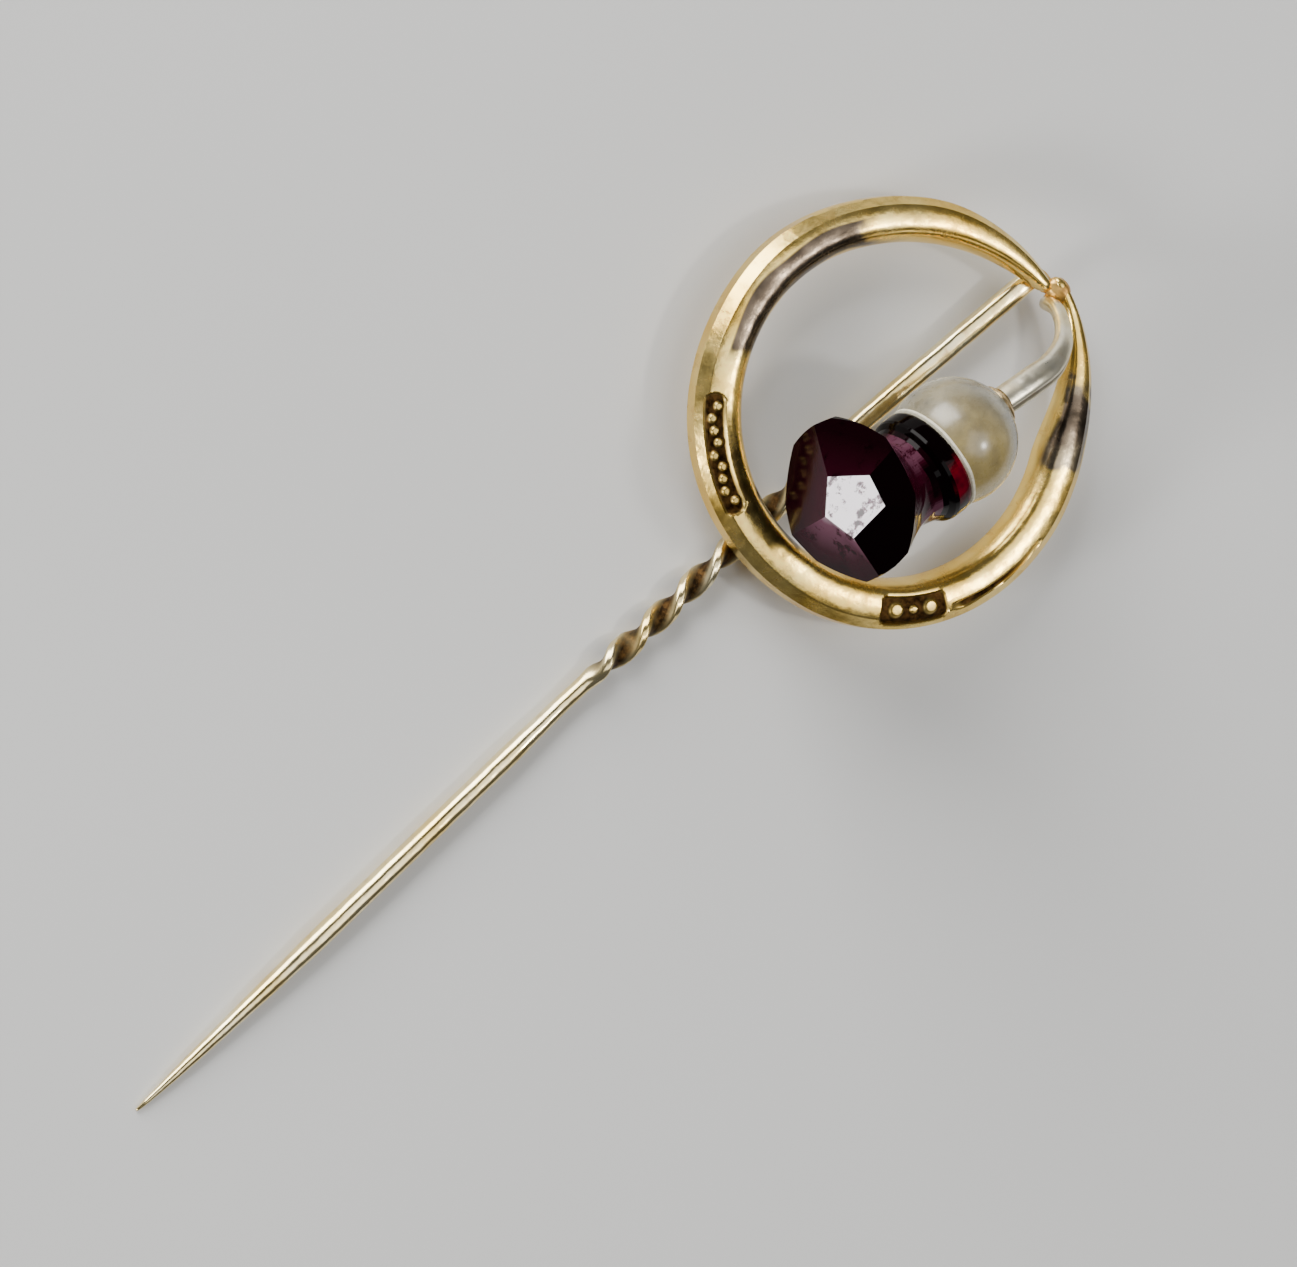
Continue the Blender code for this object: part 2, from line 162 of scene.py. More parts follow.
PEARL_TOP = Vector((1.67, 2.47, 3.6))
PEARL_AXIS = Vector((-0.112, -0.991, 0.08)).normalized()
FLOWER_AXIS = Vector((-0.445, -0.809, 0.384)).normalized()
PEARL_DIA = 5.32
PEARL_HEIGHT = 3.84
# The painted warm glow, lighter and honey-coloured, on one side of the pearl: its angle about the pearl's
# axis, the distance from the cap where it starts, and the length over which it comes in.
PEARL_GLOW_SIDE = -45.0
PEARL_GLOW_FROM = 0.6
PEARL_GLOW_OVER = 1.8
CAP_DIA = 1.9
CAP_HOLE = 0.84
STONE_AT = 4.08
COLLAR_DIA = 4.9
WAIST_DIA = 4.14
GIRDLE_DIA = 6.86
COLLAR_FOOT = 1.3
WAIST_AT = 1.7
GIRDLE_AT = 4.7
STONE_FACETS = 8
# The crown: its table's height over the girdle, shift and tilt towards the front, and the
# facets cut around the table, each as azimuth, distance from the table's middle, and slope.
TABLE_HEIGHT = 1.0
TABLE_SHIFT = 1.08
TABLE_TILT = 17.7
CROWN_BLANK = 2.2
CROWN_FACETS = ((85.0, 1.12, 24.0), (18.0, 1.13, 19.0), (-55.0, 0.95, 22.0),
                (-134.0, 1.25, 37.0), (165.0, 1.25, 39.0))
# Painted reflections: how light a colour the table and each facet of the crown show, in the same order;
# the painted shade of crown facets towards the girdle; and painted reflection patches of the body: angle
# of the middle, spread, start and end along the pearl's axis, strength.
TABLE_PAINTED_GLINT = 1.0
CROWN_PAINTED_REFLECTIONS = (0.16, 0.0, 0.0, 0.68, 0.31)
GIRDLE_SHADE = 0.2
BODY_PAINTED_REFLECTIONS = ((50.0, 38.0, 0.95, 2.3, 0.5), (0.0, 30.0, 1.3, 3.9, 0.3), (-50.0, 32.0, 1.2, 3.9, 0.52),
              (200.0, 60.0, 1.0, 3.0, 0.3))
# The painted red glow in the collar, standing for light through its thin edge: its angle about the pearl's
# axis, and its spread to either side.
GLOW_ANGLE = -22.0
GLOW_SPREAD = 35.0

# Lumps of the two solder runs: middle and half sizes, about the head's centre.
JOINT_LUMPS = (((1.25, 9.14, -0.16), (0.72, 0.56, 0.48)), ((1.72, 9.12, -0.2), (0.5, 0.42, 0.4)),
               ((0.56, 8.96, -0.6), (0.68, 0.44, 0.44)), ((1.4, 8.72, -0.4), (0.42, 0.4, 0.38)))
SOLDER_FULLNESS = 0.88
BACK_LUMPS = (((-0.2, -7.98, -0.78), (0.98, 0.83, 0.5)), ((0.25, -7.8, -0.9), (0.6, 0.6, 0.36)))

FLOOR_GAP = 0.02
# The camera: directions to its right and behind it, the place it looks at as measured from the
# middle of the hoop, its distance from there in metres, and its lens for a sensor 36 mm wide.
CAMERA_RIGHT = Vector((0.5923, 0.6918, 0.4131))
CAMERA_BACK = Vector((-0.3125, -0.2753, 0.9092))
CAMERA_TARGET = Vector((-0.478, -14.296, -0.051))
CAMERA_DISTANCE = 0.25
CAMERA_LENS = 170.3

# The middle of the hoop is the place that every shape below is measured from. It lies one
# radius inside the hoop's right edge, and this far below the top of the solder at the joint.
JOINT_TOP = 9.8
hoop_low, hoop_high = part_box("hoop")
HEAD = Vector((hoop_high.x - HOOP_RADIUS * MM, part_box("joint_solder")[1].y - JOINT_TOP * MM,
               (hoop_low.z + hoop_high.z) / 2))
HEAD_HEIGHT = HEAD.z / MM
HOOP_THICKNESS = (hoop_high.z - hoop_low.z) / MM
POINT_Y = (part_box("pin_stem")[0].y - HEAD.y) / MM


# Shape helpers


def smoothstep(value):
    value = min(max(value, 0.0), 1.0)
    return value * value * (3.0 - 2.0 * value)


def blend(a, b, t):
    return a + (b - a) * t


def spline(points, t):
    """Point at t in 0..1 on a Catmull-Rom curve through the points."""
    points = [Vector(p) for p in points]
    points = [points[0] * 2 - points[1]] + points + [points[-1] * 2 - points[-2]]
    place = min(max(t, 0.0), 1.0) * (len(points) - 3)
    index = min(int(place), len(points) - 4)
    u = place - index
    a, b, c, d = points[index:index + 4]
    return 0.5 * (2 * b + (c - a) * u + (2 * a - 5 * b + 4 * c - d) * u * u
                  + (3 * b - a - 3 * c + d) * u * u * u)


def frame_at(point, tangent, side):
    """Matrix with Z along the tangent and X as near as it can be to the side."""
    z = tangent.normalized()
    x = (side - z * side.dot(z)).normalized()
    y = z.cross(x)
    return Matrix.Translation(point) @ Matrix((x, y, z)).transposed().to_4x4()


def wobble(point, scale, seed=0.0):
    """Smooth noise in -1..1 at a point given in millimetres."""
    return noise.noise(Vector(point) * scale + Vector((seed, 2.0 * seed, -seed)))


def make_piece(name, verts, faces, material, replaced, sharp=None, dark_share=None):
    """Mesh object from millimetres about the head's centre, standing for CAD nodes."""
    mesh = bpy.data.meshes.new(name)
    mesh.from_pydata([HEAD + Vector(v) * MM for v in verts], [], faces)
    mesh.validate()
    if dark_share is not None:
        layer = mesh.attributes.new("dark_share", "FLOAT", "POINT")
        layer.data.foreach_set("value", dark_share)
    if sharp is not None:
        mesh.shade_smooth()
        mesh.set_sharp_from_angle(angle=math.radians(sharp))
    mesh.materials.append(material)
    piece = bpy.data.objects.new(name, mesh)
    bpy.context.collection.objects.link(piece)
    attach(piece, "root")
    for node in replaced:
        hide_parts(node)
    return piece


def skin(rings, closed_ends=True):
    """Vertices and faces of a tube through equal-count rings."""
    verts = [tuple(p) for ring in rings for p in ring]
    count = len(rings[0])
    faces = []
    for r in range(len(rings) - 1):
        for i in range(count):
            j = (i + 1) % count
            faces.append((r * count + i, r * count + j, (r + 1) * count + j, (r + 1) * count + i))
    if closed_ends:
        faces.append(tuple(reversed(range(count))))
        faces.append(tuple(range((len(rings) - 1) * count, len(rings) * count)))
    return verts, faces


# Materials


class Nodes:
    """Short forms for building one Principled material in the object's own coordinates."""

    def __init__(self, name):
        self.material = bpy.data.materials.new(name)
        self.material.use_nodes = True
        self.tree = self.material.node_tree
        self.shader = self.tree.nodes["Principled BSDF"]
        coordinates = self.tree.nodes.new("ShaderNodeTexCoord")
        self.place = coordinates.outputs["Object"]

    def set(self, **values):
        for key, value in values.items():
            self.shader.inputs[key.replace("_", " ")].default_value = value

    def noise(self, per_mm, detail=4.0, rough=0.55, stretch=None):
        """Noise with this many features per millimetre, optionally stretched by axis."""
        node = self.tree.nodes.new("ShaderNodeTexNoise")
        node.inputs["Scale"].default_value = per_mm / MM
        node.inputs["Detail"].default_value = detail
        node.inputs["Roughness"].default_value = rough
        place = self.place
        if stretch:
            mapping = self.tree.nodes.new("ShaderNodeMapping")
            mapping.inputs["Scale"].default_value = stretch
            self.tree.links.new(place, mapping.inputs["Vector"])
            place = mapping.outputs["Vector"]
        self.tree.links.new(place, node.inputs["Vector"])
        return node.outputs["Fac"]

    def ramp(self, value, stops):
        node = self.tree.nodes.new("ShaderNodeValToRGB")
        while len(node.color_ramp.elements) < len(stops):
            node.color_ramp.elements.new(0.5)
        for element, (at, colour) in zip(node.color_ramp.elements, stops):
            element.position = at
            element.color = (*colour, 1.0)
        self.tree.links.new(value, node.inputs["Fac"])
        return node.outputs["Color"]

    def mix(self, share, a, b):
        node = self.tree.nodes.new("ShaderNodeMix")
        node.data_type = "RGBA"
        for socket, source in ((node.inputs[0], share), (node.inputs[6], a), (node.inputs[7], b)):
            if hasattr(source, "links"):
                self.tree.links.new(source, socket)
            elif isinstance(source, tuple):
                socket.default_value = (*source, 1.0)
            elif socket.type == "RGBA":
                socket.default_value = (source, source, source, 1.0)
            else:
                socket.default_value = source
        return node.outputs[2]

    def span(self, value, low, high, start=0.3, end=0.7):
        node = self.tree.nodes.new("ShaderNodeMapRange")
        node.inputs["From Min"].default_value = start
        node.inputs["From Max"].default_value = end
        node.inputs["To Min"].default_value = low
        node.inputs["To Max"].default_value = high
        self.tree.links.new(value, node.inputs["Value"])
        return node.outputs["Result"]

    def attribute(self, name):
        node = self.tree.nodes.new("ShaderNodeAttribute")
        node.attribute_name = name
        return node.outputs["Fac"]

    def bump(self, height, distance_mm, after=None):
        node = self.tree.nodes.new("ShaderNodeBump")
        node.inputs["Distance"].default_value = distance_mm * MM
        self.tree.links.new(height, node.inputs["Height"])
        if after:
            self.tree.links.new(after, node.inputs["Normal"])
        return node.outputs["Normal"]

    def link(self, output, name):
        self.tree.links.new(output, self.shader.inputs[name])


def gold(name, light, deep, tarnish, rough=(0.16, 0.32), lines=None, painted_reflection=False):
    """Worn gold: slow colour drift, drawing scratches, darkening where the mesh marks it, partly painted
    shade, and painted dark reflection streaks if asked.
    """
    m = Nodes(name)
    m.set(Metallic=1.0)
    drift = m.noise(0.35, 3.0)
    colour = m.ramp(drift, ((0.35, light), (0.66, deep)))
    blotch = m.noise(1.3, 6.0, 0.65)
    colour = m.mix(m.span(blotch, 0.0, 0.5, 0.52, 0.72), colour, tarnish)
    if painted_reflection:
        # Painted dark reflections: streaky grey-brown colour mixed into the gold where the mesh asks for
        # it.
        streaks = m.ramp(m.noise(0.45, 3.0, 0.55), ((0.36, (0.05, 0.038, 0.027)),
                                                    (0.52, (0.13, 0.10, 0.072)),
                                                    (0.68, (0.32, 0.26, 0.17))))
        colour = m.mix(m.attribute("painted_reflection"), colour, streaks)
    # Darkening by the mesh's dark share: painted shade on the twist's flats, a painted dark line along the
    # hook's crease, and darker stamped recesses and tool mark on the hoop.
    dark_share = m.attribute("dark_share")
    dark_colour = m.ramp(m.noise(3.0, 5.0, 0.7), ((0.4, (0.012, 0.005, 0.002)),
                                           (0.64, (0.11, 0.055, 0.016))))
    m.link(m.mix(dark_share, colour, dark_colour), "Base Color")
    mottle = m.span(blotch, rough[0], rough[1])
    m.link(m.mix(dark_share, mottle, 0.6), "Roughness")
    scratch = m.noise(9.0, 3.0, 0.6, lines or (1.0, 1.0, 1.0))
    wear = m.bump(scratch, 0.004)
    m.link(m.bump(m.noise(0.7, 2.5), 0.05, after=wear), "Normal")
    return m.material


def pearl_material():
    """Silver-grey pearl with a painted warm glow, lighter and honey-coloured, on one side, faint growth
    clouds and a satin lustre.
    """
    m = Nodes("pearl_lustre")
    clouds = m.noise(0.45, 4.0, 0.6)
    silver = m.ramp(clouds, ((0.36, (0.15, 0.145, 0.12)), (0.64, (0.34, 0.32, 0.25))))
    # Painted glow: lighter honey colour on the side facing the highlight.
    glow_tone = m.ramp(clouds, ((0.36, (0.26, 0.20, 0.08)), (0.64, (0.50, 0.38, 0.13))))
    colour = m.mix(m.attribute("painted_glow"), silver, glow_tone)
    m.link(colour, "Base Color")
    m.link(m.span(m.noise(3.0, 5.0), 0.2, 0.36), "Roughness")
    m.set(Subsurface_Weight=0.1, Subsurface_Scale=0.5 * MM, Coat_Weight=0.7,
          Coat_Roughness=0.2, IOR=1.5)
    m.shader.inputs["Subsurface Radius"].default_value = (1.0, 0.7, 0.45)
    m.link(m.bump(m.noise(7.0, 4.0), 0.003), "Normal")
    return m.material


def cement_material():
    """Dry cream bedding with fine grains and a few darker specks."""
    m = Nodes("cream_bedding")
    grain = m.noise(5.0, 6.0, 0.7)
    colour = m.ramp(grain, ((0.3, (0.60, 0.52, 0.36)), (0.46, (0.92, 0.85, 0.64)),
                            (0.7, (0.97, 0.93, 0.80))))
    m.link(colour, "Base Color")
    m.link(m.span(grain, 0.45, 0.7), "Roughness")
    m.link(m.bump(m.noise(9.0, 5.0), 0.02), "Normal")
    return m.material


def stone_material():
    """Near-black wine stone with painted reflections: its facets show purple, rose or white, with veils
    and a fine polish.
    """
    m = Nodes("amethyst_deep")
    veils = m.noise(1.7, 6.0, 0.7, (1.0, 0.5, 1.0))
    reflection_level = m.attribute("reflection_level")
    shade = m.mix(m.span(veils, 0.3, 1.0, 0.36, 0.46), (0.0, 0.0, 0.0), reflection_level)
    # Painted reflections: the lightest stop is the table's painted white glint, the middle ones painted
    # purple and rose.
    colour = m.ramp(shade, ((0.0, (0.0014, 0.0001, 0.0003)), (0.3, (0.026, 0.0015, 0.007)),
                            (0.6, (0.13, 0.045, 0.075)), (1.0, (0.95, 0.87, 0.91))))
    # Painted red glow of light through the collar's thin edge.
    glow_red = m.mix(m.span(m.noise(1.2, 2.0), 0.2, 1.0, 0.4, 0.6), (0.03, 0.0, 0.004), (0.17, 0.0, 0.01))
    m.link(m.mix(m.attribute("glow"), colour, glow_red), "Base Color")
    m.set(IOR=1.45, Specular_IOR_Level=0.09)
    m.link(m.span(m.noise(4.0, 4.0), 0.02, 0.08), "Roughness")
    m.link(m.bump(m.noise(1.1, 3.0), 0.006, after=m.bump(veils, 0.004)), "Normal")
    return m.material


yellow_gold = gold("hoop_gold", (0.96, 0.72, 0.24), (0.84, 0.54, 0.11), (0.45, 0.25, 0.05), painted_reflection=True)
wire_gold = gold("wire_gold", (0.96, 0.84, 0.52), (0.88, 0.66, 0.25), (0.42, 0.26, 0.10),
                 (0.12, 0.26), (1.0, 0.12, 1.0))
hook_gold = gold("hook_gold", (0.98, 0.92, 0.74), (0.90, 0.78, 0.46), (0.50, 0.36, 0.18),
                 (0.26, 0.4), (1.0, 1.0, 0.15))
cap_gold = gold("cap_gold", (0.80, 0.60, 0.32), (0.62, 0.40, 0.18), (0.25, 0.14, 0.06), (0.18, 0.34))
solder_gold = gold("solder_gold", (0.85, 0.55, 0.16), (0.66, 0.34, 0.08), (0.22, 0.11, 0.04),
                   (0.3, 0.55))
pearl_skin = pearl_material()
cement = cement_material()
amethyst = stone_material()


# Hoop


def hoop_taper(angle):
    """Share of the full section, 0 at either end of the open hoop and 1 on the body."""
    left = min(max((angle - HOOP_JOINT_ANGLE) / HOOP_LEFT_TAPER, 0.0), 1.0)
    right = (HOOP_JOINT_ANGLE + 360.0 - angle) / HOOP_RIGHT_TAPER
    return min(math.sin(0.5 * math.pi * left) ** HOOP_LEFT_FULLNESS, smoothstep(right))


def uneven(angle, lump):
    """Growth of the hoop's outer edge at an angle, from one gentle lump or hollow."""
    centre, spread, growth = lump
    share = min(abs(angle - centre) / spread, 1.0)
    return growth * math.cos(0.5 * math.pi * share) ** 2


def hoop_outline(half, thickness, inner_points=18, face_points=22, bevel_points=8):
    """Section as (outward, forward): flat back, outer bevel, crowned face, round inner shoulder."""
    spring = (HOOP_SIDE_SHARE - 0.5) * thickness
    dome = (1.0 - HOOP_SIDE_SHARE) * thickness
    back = -thickness / 2
    points = [(-half + EDGE_BREAK, back), (half - EDGE_BREAK, back), (half, back + EDGE_BREAK)]
    high = 1.0 - FACE_CROWN * BEVEL_START ** 2
    for k in range(bevel_points + 1):
        t = k / bevel_points
        x = blend(BEVEL_END, BEVEL_START, t)
        points.append((half * x, spring + dome * blend(BEVEL_FOOT, high, t)))
    for k in range(1, face_points + 1):
        x = blend(BEVEL_START, 0.0, k / face_points)
        points.append((half * x, spring + dome * (1.0 - FACE_CROWN * x * x)))
    for k in range(1, inner_points + 1):
        x = math.sin(0.5 * math.pi * k / inner_points)
        height = (1.0 - x ** INNER_POWERS[0]) ** INNER_POWERS[1]
        points.append((-half * x, spring + dome * height))
    return points + [(-half, back + EDGE_BREAK)]


def recess(degrees, across, mark):
    """Depth of a stamped recess with round corners, its raised lip, and the place along it."""
    centre, spread, half_width, offset = mark
    middle = HOOP_RADIUS - HOOP_WIDTH / 2 + offset
    along = math.radians(degrees - centre) * middle
    dx = max(abs(along) - math.radians(spread) * middle + MARK_CORNER, 0.0)
    dy = max(abs(across - offset) - half_width + MARK_CORNER, 0.0)
    inside = MARK_CORNER - math.hypot(dx, dy)
    lip = MARK_LIP * math.exp(-((inside + 0.06) / 0.09) ** 2)
    return smoothstep(inside / 0.1 + 0.3), lip, along


def pellet(distance, radius):
    """Height of a plain round pellet, 0 to 1, at a distance from its middle."""
    return smoothstep((radius - distance) / (0.5 * radius) + 0.2)


def mark_depth(degrees, across):
    """Depth of the two stamped recesses, their lips, and the plain pellets that stand in them."""
    for mark, pellets in ((STRIP_MARK, STRIP_PELLETS), (CARTOUCHE_MARK, CARTOUCHE_PELLETS)):
        depth, lip, along = recess(degrees, across, mark)
        if depth > 0 or lip > 0.01:
            number, pitch, radius = pellets
            step = round(along / pitch)
            sideways = across - mark[3]
            if mark is STRIP_MARK:
                sideways -= STRIP_STAGGER * math.cos(2.4 * step)
            elif step == 0:
                radius = MIDDLE_PELLET
            relief = 0.0
            if abs(step) <= number:
                relief = pellet(math.hypot(along - pitch * step, sideways), radius)
            return depth * (1.0 - PELLET_SHARE * relief) - lip
    return 0.0


def score_depth(degrees, across, half):
    """Depth of the tool mark that runs on from the cartouche inside the bevel's upper edge."""
    share = (degrees - SCORE_START) / (SCORE_END - SCORE_START)
    if not 0.0 < share < 1.0:
        return 0.0
    width = blend(*SCORE_WIDTHS, share)
    depth = math.exp(-((across - SCORE_PLACE * half) / width) ** 4)
    return min(1.5 * depth * min(6.0 * share, 1.0) * (1.0 - share) ** 0.4, 1.0)


def painted_reflection_at(degrees, across, half, base):
    """Share of painted dark reflection, in a few streaky grey-brown patches on the gold."""
    mottle = 0.0
    for centre, spread, place, reach in DARK_REFLECTION_PATCHES:
        drift = DARK_REFLECTION_DRIFT[0] * wobble(base, 0.5, 11.0) + DARK_REFLECTION_DRIFT[1] * wobble(base, 2.6, 4.0)
        edge = DARK_REFLECTION_DRIFT[2] * wobble(base, 0.35, 8.0)
        side = 1.0 - abs(across / half - place + edge) / reach
        mottle = max(mottle, smoothstep(4.0 * (1.0 - abs(degrees - centre + drift) / spread))
                   * smoothstep(6.0 * side))
    return mottle


def build_hoop(steps=1100):
    """Open hoop, round and thin at its two ends, which pass each other at the joint."""
    start = HOOP_JOINT_ANGLE - HOOP_END_LAP
    end = HOOP_JOINT_ANGLE + 360.0 + HOOP_END_LAP
    rings = []
    dark_share = []
    painted_reflection = []
    for i in range(steps + 1):
        degrees = blend(start, end, i / steps)
        size = hoop_taper(degrees)
        change = uneven(degrees, HOOP_SWELL) + uneven(degrees, HOOP_PINCH)
        width = blend(HOOP_END_SIZE, HOOP_WIDTH, size) + change
        thickness = blend(HOOP_END_SIZE, HOOP_THICKNESS, size)
        flare = HOOP_RIGHT_FLARE * smoothstep(1 - (HOOP_JOINT_ANGLE + 360.0 - degrees)
                                              / HOOP_RIGHT_TAPER)
        radius = HOOP_RADIUS + change + flare - width / 2
        angle = math.radians(degrees)
        outward = Vector((math.cos(angle), math.sin(angle), 0.0))
        near_end = min(min(degrees - start, end - degrees) / HOOP_END_ROUND, 1.0)
        tip = math.sqrt(max(1.0 - (1.0 - near_end) ** 2, 0.01))
        half = width / 2 * tip
        thickness *= tip
        ring = []
        for across, forward in hoop_outline(half, thickness):
            base = outward * (radius + across) + Vector((0.0, 0.0, forward))
            front = smoothstep(2.0 * forward / thickness + 1.0)
            depth = max(mark_depth(degrees, across), score_depth(degrees, across, half)) * front
            rub = SURFACE_RUB * (wobble(base, 0.55) + 1.0) * front
            inward = (outward * (-0.25 * across / half) - Vector((0, 0, 1))).normalized()
            ring.append(base + inward * (MARK_DEPTH * depth + rub))
            # Darker in the stamped recesses and along the tool mark.
            dark_share.append(max(depth, 0.0))
            # Painted dark reflection patches on the hoop's front.
            painted_reflection.append(painted_reflection_at(degrees, across, half, base) * front)
        rings.append(ring)
    verts, faces = skin(rings)
    piece = make_piece("hoop_visible", verts, faces, yellow_gold, ["hoop"], 40.0, dark_share)
    layer = piece.data.attributes.new("painted_reflection", "FLOAT", "POINT")
    layer.data.foreach_set("value", painted_reflection)


# Stem


def stem_route(y):
    """Centre of the stem at a distance y along the pin, about the head's centre."""
    rise = max((y - STEM_RISE_FROM) / (STEM_TOP - STEM_RISE_FROM), 0.0) ** STEM_RISE_POWER
    settle = smoothstep((TWIST_END + TWIST_LEAD_OUT - y) / SHANK_SETTLE)
    height = blend(STEM_AXIS_HEIGHT, SHANK_DIA / 2, settle) + STEM_TOP_RISE * rise
    drift = smoothstep((TWIST_END + SHANK_DRIFT - y) / SHANK_DRIFT)
    shift = STEM_TOP_SHIFT * rise + SHANK_SHIFT * drift
    return Vector((STEM_X + shift, y, height - HEAD_HEIGHT))


def stem_section(y):
    """Width, depth, turn, squareness and hollowness of the stem's section at y."""
    share = (TWIST_START - y) / (TWIST_START - TWIST_END)
    turn = math.tau * TWIST_TURNS * share
    if y > TWIST_START:
        t = smoothstep((TWIST_START + TWIST_LEAD_IN - y) / TWIST_LEAD_IN)
        return (blend(STEM_TOP_WIDTH, TWIST_WIDTH, t), blend(STEM_TOP_DEPTH, TWIST_DEPTH, t), 0.0,
                0.45, t)
    if y > TWIST_END:
        t = smoothstep((TWIST_END + TWIST_FADE - y) / TWIST_FADE)
        turn += 0.1 * math.sin(9.0 * share) * (1 - t)
        return (blend(TWIST_WIDTH, SHANK_NECK_DIA, t), blend(TWIST_DEPTH, SHANK_NECK_DIA, t), turn,
                blend(0.85, 0.0, t), 1.0 - t)
    swell = smoothstep((TWIST_END - y) / SHANK_SWELL_LENGTH)
    taper = min((y - POINT_Y) / POINT_LENGTH, 1.0) ** POINT_FULLNESS
    dia = blend(POINT_DIA, blend(SHANK_NECK_DIA, SHANK_DIA, swell), taper)
    return dia, dia, 0.0, 0.12 * swell, 0.0


def build_stem(steps=1100, count=36):
    """Flattened top, left-handed twist and round pointed shank, made as one tube."""
    rings = []
    dark_share = []
    for s in range(steps + 1):
        y = blend(STEM_TOP + STEM_TOP_EXTRA, POINT_Y, s / steps)
        width, depth, turn, square, hollow = stem_section(y)
        centre = stem_route(y)
        if y <= TWIST_END:
            rest = smoothstep((TWIST_END - y) / SHANK_REST)
            centre.z = blend(stem_route(TWIST_END).z, depth / 2 - HEAD_HEIGHT, rest)
        rounding = min((STEM_TOP + STEM_TOP_EXTRA - y) / STEM_TOP_ROUND, 1.0)
        end = math.sqrt(1.0 - (1.0 - max(rounding, 0.01)) ** 2)
        width *= end
        depth *= end
        ring = []
        for i in range(count):
            angle = math.tau * (i + 0.5) / count
            power = blend(1.0, 0.5, square)
            c = math.copysign(abs(math.cos(angle)) ** power, math.cos(angle))
            n = math.copysign(abs(math.sin(angle)) ** power, math.sin(angle))
            sunk = hollow * math.exp(-(c / 0.8) ** 4)
            across = width / 2 * c
            forward = depth / 2 * n * (1.0 - TWIST_HOLLOW * sunk)
            x = across * math.cos(turn) + forward * math.sin(turn)
            z = forward * math.cos(turn) - across * math.sin(turn)
            p = centre + Vector((x, 0.0, z))
            p -= Vector((x, 0.0, z)) * (SURFACE_RUB * (1 + wobble(p, 1.2, 3.0)))
            p.z = max(p.z, -HEAD_HEIGHT)
            ring.append(p)
            # Painted shade: the hollow flats of the twist are darkened.
            tone = min(1.02 + 0.2 * wobble(p, 0.9, 4.0), 1.0)
            dark_share.append(tone * sunk if TWIST_END < y < TWIST_START + 1.0 else 0.0)
        rings.append(ring)
    verts, faces = skin(rings)
    make_piece("stem_visible", verts, faces, wire_gold, ["pin_stem"], 60.0, dark_share)


# Hook and solder


def build_hook(steps=170, count=48):
    """Wire that swells towards the cap, with a lengthwise crease and a flat beside it."""
    side = Vector((0.95, -0.3, 0.0))
    rings = []
    dark_share = []
    for i in range(steps + 1):
        t = i / steps
        tangent = spline(HOOK_ROUTE, t + 0.01) - spline(HOOK_ROUTE, t - 0.01)
        place = frame_at(spline(HOOK_ROUTE, t), tangent, side)
        dia = blend(HOOK_ROOT_DIA, HOOK_END_DIA, smoothstep((t - 0.35) / 0.5))
        folded = smoothstep((t - 0.4) / 0.3)
        ring = []
        for k in range(count):
            a = math.tau * k / count
            crease = folded * math.exp(-((math.sin((a - HOOK_CREASE) / 2)) / 0.1) ** 2)
            flat = folded * math.exp(-((math.sin((a - HOOK_CREASE - HOOK_FLAT) / 2)) / 0.3) ** 2)
            radius = dia / 2 * (0.99 - HOOK_CREASE_DEPTH * crease - HOOK_FLAT_DEPTH * flat)
            radius -= 0.006 * (1 + wobble(place.translation + place.col[0].xyz * math.cos(a), 2.5, 6.0))
            ring.append(place @ Vector((radius * math.cos(a), radius * math.sin(a), 0.0)))
            # Painted dark reflection line along the crease.
            dark_share.append(0.8 * crease)
        rings.append(ring)
    verts, faces = skin(rings)
    make_piece("hook_visible", verts, faces, hook_gold, ["hook_wire"], 60.0, dark_share)


def build_solder(name, node, lumps, seed, rows=36, columns=48):
    """Solder run that has flowed over a joint: a few uneven lumps that melt into one another."""
    verts = []
    faces = []
    for middle, half_sizes in lumps:
        rings = []
        for r in range(rows + 1):
            polar = blend(0.03, math.pi - 0.03, r / rows)
            ring = []
            for c in range(columns):
                turn = math.tau * c / columns
                direction = Vector((math.sin(polar) * math.cos(turn), math.sin(polar) * math.sin(turn),
                                    math.cos(polar)))
                push = SOLDER_FULLNESS + 0.1 * wobble(direction, 1.3, seed)
                push += 0.03 * wobble(direction, 4.0, seed)
                ring.append(Vector(middle) + Vector([a * b for a, b in zip(direction, half_sizes)]) * push)
            rings.append(ring)
        lump_verts, lump_faces = skin(rings)
        faces += [tuple(i + len(verts) for i in face) for face in lump_faces]
        verts += lump_verts
    make_piece(name, verts, faces, solder_gold, [node], 60.0)


# Thistle head


def pearl_frame():
    """Frame on the pearl's top, with Z down its axis towards the stone and X to the front."""
    return frame_at(PEARL_TOP, PEARL_AXIS, Vector((0.0, 0.0, 1.0)))


def turned(profile, place, count, ripple=0.0, seed=0.0):
    """Rings of a turned (radius, height) outline with slight hand-made unevenness."""
    rings = []
    for radius, height in profile:
        ring = []
        for k in range(count):
            a = math.tau * k / count
            direction = Vector((math.cos(a), math.sin(a), 0.0))
            uneven = ripple * (wobble(direction * 2 + Vector((0, 0, height)), 1.0, seed) - 1.0)
            ring.append(place @ Vector((*(direction.xy * (radius * (1 + uneven))), height)))
        rings.append(ring)
    return rings


